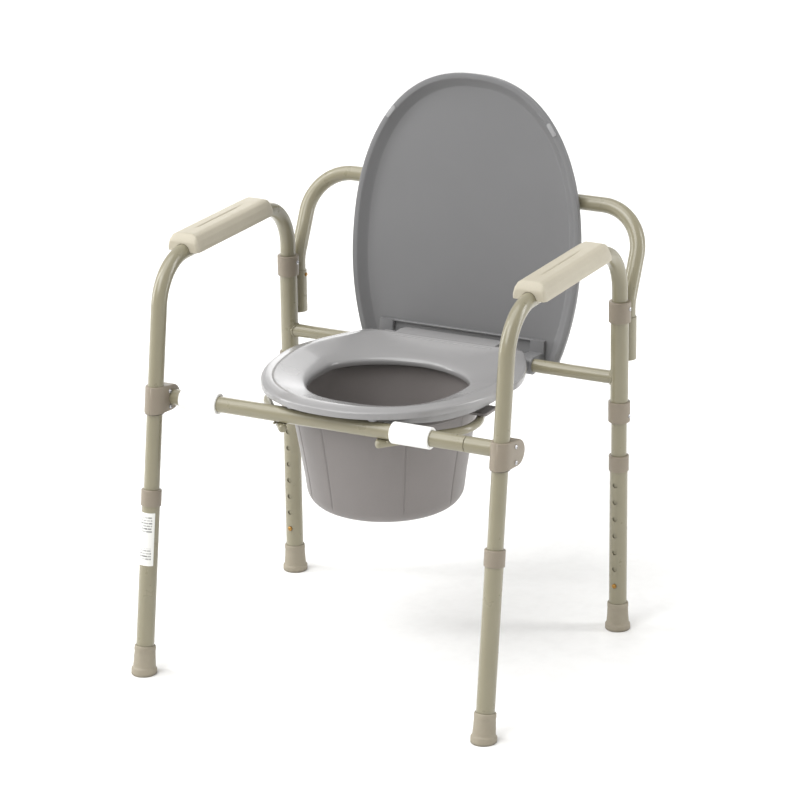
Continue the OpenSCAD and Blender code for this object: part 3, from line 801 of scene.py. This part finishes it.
# a thin dark ring lining a hole's wall: painted shade inside the hole
HOLE_SHADE_RING = lathe([(3.35, 11.3), (3.49, 11.3), (3.49, 12.15), (3.35, 12.15)], 36, closed=True)
for end, side, s in LEGS:
    name, at = "%s_%s" % (end, side), leg(end, s)
    body = name + "_extension"
    shape = leg_tube()
    leg_piece = build(name + "_leg_tube", [(shape, at)], "frame_paint", body, [name + "_extension"])
    holes = [at @ shift(0, 0, HOLE_Z + k * PITCH) @ rot("X", 90) for k in range(HOLES)]
    cut(leg_piece, [(DRILL, hole) for hole in holes])
    # at rest the button is in the lowest hole, which gets no shade ring; the others get a thin dark
    # ring on their walls, painted shade for the hole's depth
    build(name + "_hole_shade_rings", [(HOLE_SHADE_RING, hole) for hole in holes[1:]], "painted_shade", body)
    section = [(SO + SLACK, 241), (14.3, 241), (14.3, 264), (SI + 0.02, 264),
               (SI + 0.02, 258.1), (SO + SLACK, 258.1)]
    shape = lathe(rounded(section, [0.2, 0.6, 1.3, 0.5, 0, 0]), 72, closed=True)
    build(name + "_ring", [(shape, at)], "fitting_plastic", body, [name + "_collar"])
    shape = level(leg_tip()) if end == "front" else leg_tip()
    build(name + "_foot", [(shape, at)], "tip_rubber", body, [name + "_tip"], sharp=50)

# ------------------------------------------------------------------ size label
FILM_FROM, FILM_TURN, FILM_LOW, FILM_TALL, FILM_RADII = -150, 120, 157, 75, (12.95, 12.72)


def label():
    """A thin curved sheet: an outer and an inner grid of points, joined round their edge."""
    turns, rows = 40, 20
    angles = [math.radians(FILM_FROM + FILM_TURN * i / turns) for i in range(turns + 1)]
    heights = [FILM_LOW + FILM_TALL * j / rows for j in range(rows + 1)]
    verts = [Vector((r * math.cos(a), r * math.sin(a), z))
             for r in FILM_RADII for z in heights for a in angles]
    w, size = turns + 1, (turns + 1) * (rows + 1)
    faces = []
    for g in (0, 1):
        for j in range(rows):
            for i in range(turns):
                a = g * size + j * w + i
                faces.append((a, a + w, a + w + 1, a + 1) if g else (a, a + 1, a + w + 1, a + w))
    edge = [(0, i) for i in range(w)] + [(j, turns) for j in range(1, rows + 1)]
    edge += [(rows, i) for i in range(turns - 1, -1, -1)] + [(j, 0) for j in range(rows - 1, 0, -1)]
    for (j0, i0), (j1, i1) in zip(edge, edge[1:] + edge[:1]):
        a, b = j0 * w + i0, j1 * w + i1
        faces.append((b, a, a + size, b + size))
    return verts, faces


film = build("label_sheet", [(label(), front_leg(-1))], "label_film", "front_left_extension",
             ["size_label"])
uv = film.data.uv_layers.new(name="UVMap")
unturn = front_leg(-1).inverted()
for loop in film.data.loops:
    p = unturn @ film.data.vertices[loop.vertex_index].co
    along = (math.degrees(math.atan2(p.y, p.x)) - FILM_FROM) / FILM_TURN
    uv.data[loop.index].uv = (along, (p.z - FILM_LOW) / FILM_TALL)


# ------------------------------------------------------------------ seat and lid
# outlines: half width, widest y, front length, rear length, front and rear power, rear cut
OUTER = [178.1, -152, 228.6, 239.4, 2.17, 1.5, -16]
HOLE = [108.6, -169, 135, 80.4, 2.61, 1.82, -60]
SKIRT = [160, -152, 189, 128, 3, 2.4, 0]
LID = [180.6, -141.4, 258.5, 286, 2.27, 1.95, 4]
# turns a slab's X, Y and Z to Y, Z and X
SIDEWAYS = Matrix(((0, 0, 1, 0), (1, 0, 0, 0), (0, 1, 0, 0), (0, 0, 0, 1)))


def mix(p, q, t):
    return [a * (1 - t) + b * t for a, b in zip(p, q)]


def inset(p, m):
    return [p[0] - m, p[1], p[2] - m, p[3] - m, p[4], p[5], p[6] - m]


def power(value, n):
    return math.copysign(abs(value) ** n, value)


def outline(o, n=192):
    """An outline's plan points."""
    points = []
    for i in range(n):
        t = 2 * math.pi * (i + 0.5) / n
        c, s = math.cos(t), math.sin(t)
        e, b = (o[4], o[2]) if s < 0 else (o[5], o[3])
        points.append((o[0] * power(c, 2 / e), min(o[6], o[1] + b * power(s, 2 / e))))
    return points


def seat_ring():
    """The seat: crowned band, soft crease, dish falling to a rolled lip, hollow underneath."""
    edge = [(OUTER, 15.4), (OUTER, 17), (OUTER, 22.2), (inset(OUTER, 0.3), 23.4),
            (inset(OUTER, 1.0), 24.4), (inset(OUTER, 2.1), 25)]
    across = ((0.06, 25.7), (0.13, 26.7), (0.2, 27.6), (0.235, 28), (0.26, 28.05), (0.285, 27.8),
              (0.33, 27), (0.4, 25.6), (0.5, 23.5), (0.62, 21), (0.76, 18.1), (0.88, 15.4),
              (0.93, 14.1), (0.965, 12.9), (0.985, 11.5), (0.997, 9.8))
    top = [(mix(OUTER, HOLE, t), z) for t, z in across]
    lip = [(HOLE, 8), (HOLE, 4), (inset(HOLE, -0.8), 2.6), (inset(HOLE, -2.4), 2.6),
           (inset(HOLE, -3), 4), (inset(HOLE, -3), 8.5)]
    under = [(mix(OUTER, HOLE, 0.62), 19.2), (inset(SKIRT, 3), 21.4), (inset(SKIRT, 3), 4),
             (inset(SKIRT, 2.4), 2.6), (inset(SKIRT, 0.6), 2.6), (SKIRT, 4), (SKIRT, 20.4),
             (inset(OUTER, 3), 20), (inset(OUTER, 3), 16), (inset(OUTER, 2.2), 15.4),
             (inset(OUTER, 0.8), 15.2)]
    rings = [[(x, y, z) for x, y in outline(o)] for o, z in edge + top + lip + under]
    return loft(rings, closed=True)


def hook(outer_r, arm_y, arm_low, arm_high):
    """A hook over the crossbar in section, with an arm towards the front: (y, z) points."""
    points = [(arm_y, arm_low), (-outer_r * 0.94, arm_low)]
    for a in (*range(200, 391, 10), *range(40, 61, 10)):
        points.append((outer_r * math.cos(math.radians(a)), outer_r * math.sin(math.radians(a))))
    points += [(0, arm_high), (arm_y, arm_high)]
    return [Vector(p) for p in points]


def hook_parts(x_mid, half, outer_r, arm_y, arm_low, arm_high, matrix):
    shape = slab(hook(outer_r, arm_y, arm_low, arm_high), -half, half, 1.2)
    return shape, matrix @ shift(x_mid, 0, 0) @ SIDEWAYS


at = hinge(SEAT_TILT)
plate = [(-80, -34), (80, -34), (80, -2), (76, 8), (-76, 8), (-80, -2)]
parts = [(seat_ring(), at), (slab(rounded(plate, [2, 2, 4, 4, 4, 4]), 19.5, 26.9, 1.2), at)]
parts += [hook_parts(s * 97.5, 9.5, 14.2, -62, 16, 21, at) for s in (-1, 1)]
build("seat_shell", parts, "seat_plastic", "seat", ["seat"], sharp=48)
section = [(0.4, 10.2), (6.2, 10.2), (6.8, 10.8), (7, 11.8), (7, 15.4), (0.4, 15.4)]
pads = [(lathe(section, 48), at @ shift(s * 62, BAR_Y, 0)) for s in (-1, 1)]
build("seat_pads", pads, "bumper_rubber", "seat", ["seat_bumpers"], sharp=50)


def lid_shell():
    """The lid: a shallow tray, its rim fading out along the straight hinge edge."""
    tray_z, fade_over = 36.6, 7

    def row(margin, level_z, shrink):
        made = []
        o = inset(LID, margin)
        o[6] = LID[6]
        for x, y in outline(o):
            x, y = x * (1 - shrink), LID[1] + (y - LID[1]) * (1 - shrink)
            fade = min(1.0, max(0.0, (LID[6] - y) / fade_over))
            fade = fade * fade * (3 - 2 * fade)
            z = level_z if level_z > tray_z else tray_z - (tray_z - level_z) * fade
            made.append((x, y, z))
        return made

    # margin in from the outline, height, and how far the row is shrunk to the middle
    floor = [(21, 35.9, 0.97), (21, 35.95, 0.7), (21, 36.1, 0.4), (21, 36.4, 0.12), (21, 36.5, 0.0)]
    rim = [(20, 36.3), (18.6, 35.4), (15, 32.6), (11, 29.4), (8.6, 27.3), (7.6, 26.5), (6.4, 26.3),
           (1.2, 26.3), (0.3, 26.7), (0, 27.6), (0, 32.4), (0.4, 34.6), (1.6, 36.7), (3.4, 38.1),
           (6, 38.7)]
    back = [(40, 38.8, 0.0), (40, 38.8, 0.5), (40, 38.8, 0.97)]
    return loft([row(*step) for step in floor + [(m, z, 0.0) for m, z in rim] + back])


at = hinge(LID_ANGLE)
parts = [(lid_shell(), at), (box(-122, 122, -30.2, -27.6, 31, 37, 1, 0.9), at)]
parts += [hook_parts(s * 121, 11, 13.4, -30, 29.6, 36.8, at) for s in (-1, 1)]
build("lid_shell", parts, "lid_plastic", "lid", ["lid"], sharp=40, weld=0.00002)
pads = []
for s in (-1, 1):
    oblong = rounded([(-3.2, -10.5), (3.2, -10.5), (3.2, 10.5), (-3.2, 10.5)], 3.1)
    pads.append((slab(oblong, 24.7, 31, 1.2), at @ shift(s * 127, -332.6, 0) @ rot("Z", -s * 35.7)))
build("lid_pads", pads, "bumper_rubber", "lid", ["lid_bumpers"], sharp=50)

# ------------------------------------------------------------------ bucket
GROOVES = [-172.5, -131, -104.5, -49, -7.5, 36, 76, 128]
BESIDE = (-1.5, -1.0, -0.7, -0.45, -0.2, 0, 0.2, 0.45, 0.7, 1.0, 1.5)


def bucket():
    """A tapered pail with pressed grooves down its wall and a turned-out rim."""
    even = {round(i * 3.0 - 180, 3) for i in range(120)}
    turns = sorted(even | {round(g + d, 3) for g in GROOVES for d in BESIDE})
    wall_r, base_z, bend_r, bend_in = 110.4, 223, 26, 23.4
    arc = [math.radians(-90 + 9 * k) for k in range(10)]

    def fillet(r, angles):
        return [(wall_r - bend_r + r * math.cos(a), base_z + bend_r + r * math.sin(a))
                for a in angles]

    outer = [(0.5, 226), (60, 225.4), (70, 223.4), (74, 223)] + fillet(bend_r, arc)
    outer += [(113, 268), (117, 292), (121.4, 318), (125.5, 342), (128.5, 360), (129.8, 370),
              (130.4, 373)]
    rim = [(131.6, 374), (136.6, 374), (137.7, 374.6), (138, 375.6), (138, 378.6), (137.4, 379.7),
           (136.4, 380), (128.8, 380), (127.8, 379.6), (127.3, 378.6)]
    inner = [(127, 370), (125.9, 360), (122.9, 342), (118.8, 318), (114.4, 292), (110.4, 268)]
    inner += fillet(bend_in, reversed(arc)) + [(0.5, 228.6)]
    rings = []
    for k, (r, z) in enumerate(outer + rim + inner):
        # the grooves run out below the rim and above the bend, and are not in the inner wall
        run = min(1.0, max(0.0, (z - 236) / 8)) * min(1.0, max(0.0, (369 - z) / 4))
        if k >= len(outer):
            run = 0.0
        row = []
        for t in turns:
            near = min(abs((t - g + 180) % 360 - 180) for g in GROOVES)
            depth = 1.5 * run * math.exp(-((near / 0.62) ** 2))
            a = math.radians(t)
            row.append(((r - depth) * math.cos(a), (r - depth) * math.sin(a), z))
        rings.append(row)
    return loft(rings)


centre = BASE @ shift(0, BUCKET_Y, 0)
parts = [(bucket(), centre)]
lug = rounded([(134, -18), (162, -18), (165, -15), (165, 15), (162, 18), (134, 18)],
              [0.5, 3, 3, 3, 3, 0.5])
for s in (-1, 1):
    parts.append((slab(lug, 375, 379.9, 1.2), centre @ rot("Z", 0 if s > 0 else 180)))
build("pail", parts, "bucket_plastic", "frame", ["bucket"], sharp=45)

# ------------------------------------------------------------------ front clamps
CLAMP_LEG_Y, CLAMP_LOW, CLAMP_HIGH = -24.0, 16.5, 21.0


def clamp():
    """A ring round the leg that runs into a round-nosed lobe over the bar, as sections along Y.

    The origin is on the bar's axis, in the middle of the clamp's width."""
    ring_r, lobe_r, edge = 14.5, 18.0, 2.0
    lean = math.tan(math.radians(LEAN))
    steps = (6, 12, 20, 30, 42, 55, 70, 90)
    ys = [CLAMP_LEG_Y - ring_r * math.cos(math.radians(a)) for a in steps]
    ys += [-18, -12, -6, -2, 1, 4, 7, 9.5, 11.5, 13.2, 14.6, 15.8, 16.8, 17.5]
    sections = []
    for y in ys:
        past = y - CLAMP_LEG_Y
        if y < CLAMP_LEG_Y:
            half = math.sqrt(max(1.0, ring_r**2 - past**2))
        else:
            half = ring_r + 0.5 * min(1, past / 20)
        blend = min(1.0, max(0.0, y / CLAMP_LEG_Y))
        blend = blend * blend * (3 - 2 * blend)
        lobe = math.sqrt(max(9.0, lobe_r**2 - max(0.0, y) ** 2))
        low = -lobe * (1 - blend) - CLAMP_LOW * blend
        high = lobe * (1 - blend) + CLAMP_HIGH * blend
        e = min(edge, half * 0.4, lobe * 0.4)
        row = rounded([(-half, low), (half, low), (half, high), (-half, high)], e, True, 4)
        sections.append([(p.x, y + blend * lean * p.y, p.y) for p in row])
    return loft(sections)


# a dark ring round the leg at the clamp's lower edge: painted shade for the shadow gap under the
# clamp
shade_ring = lathe([(12.4, -0.5), (13.7, -0.5), (13.7, 0.4), (12.4, 0.4)], 48, closed=True)
shade_ring_y = CLAMP_LEG_Y - CLAMP_LOW * math.tan(math.radians(LEAN))
for s in (-1, 1):
    name, at = side_name(s), BASE @ shift(s * HALF_W, BAR_Y, BAR_Z)
    build(name + "_clamp", [(clamp(), at)], "fitting_plastic", "frame", [name + "_front_clamp"],
          sharp=55)
    at = BASE @ shift(s * HALF_W, BAR_Y + shade_ring_y, BAR_Z - CLAMP_LOW)
    build(name + "_clamp_shade_ring", [(shade_ring, at)], "painted_shade", "frame")

# ------------------------------------------------------------------ CAD nodes that stay
finish, edge = "button_brass", 0.35
for name in ("front_left_button", "front_right_button", "rear_left_button", "rear_right_button",
             "left_back_button", "right_back_button"):
    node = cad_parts[name]
    node.data.materials.clear()
    node.data.materials.append(MATERIALS[finish])
    weld = node.modifiers.new("weld", "WELD")
    weld.merge_threshold = 0.00002
    soft = node.modifiers.new("soft_edges", "BEVEL")
    soft.width, soft.segments, soft.limit_method = edge * 0.001, 3, "ANGLE"
    soft.angle_limit, soft.harden_normals = math.radians(38), True

bpy.context.view_layer.update()
